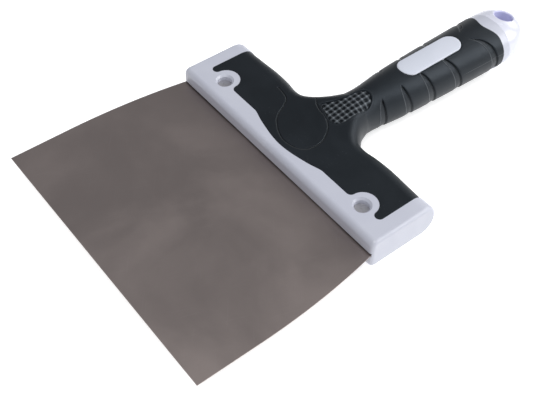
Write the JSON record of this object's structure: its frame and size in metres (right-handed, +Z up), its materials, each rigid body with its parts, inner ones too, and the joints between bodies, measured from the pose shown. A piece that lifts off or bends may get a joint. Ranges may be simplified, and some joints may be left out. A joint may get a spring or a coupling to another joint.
{
  "type": "flexible putty knife",
  "caption": "Wide flexible putty knife: a thin spring steel blade flared to a straight edge, held in a crossbar on a soft-grip handle with a hang hole in its end cap.",
  "frame": {"origin": "under the middle of the whole tool, in the plane of the grip's lowest line, so the tool lies on Z = 0", "axes": "+X along the crossbar, +Y from the blade's working edge to the handle's end, +Z up, square to the blade's flat face"},
  "size_m": [0.2, 0.349, 0.0344],
  "materials": {
    "blade_steel": "dark bright-rolled spring steel with a faint mottle and fine scratches",
    "pale_plastic": "satin moulded, pale grey with a violet cast",
    "soft_grip": "matt soft overmoulding, charcoal, with a fine grain",
    "cap_plastic": "smooth glossy moulding, near white",
    "plate_plastic": "fine matt face, bare",
    "rivet_steel": "dull zinc-plated steel"
  },
  "bodies": {
    "handle": {"core": "pale_plastic", "grip": "soft_grip", "end_cap": "cap_plastic", "name_plate": "plate_plastic", "rivet_left": "rivet_steel", "rivet_right": "rivet_steel"},
    "blade": {"blade": "blade_steel"}
  },
  "joints": [
    {"name": "blade_flex", "type": "hinge", "parent": "handle", "child": "blade", "pos_m": [0, -0.0674, 0.0172], "axis": [1, 0, 0], "range_deg": [-15, 15], "stiffness_Nm_per_rad": 6.3, "deforming": ["blade"]}
  ]
}
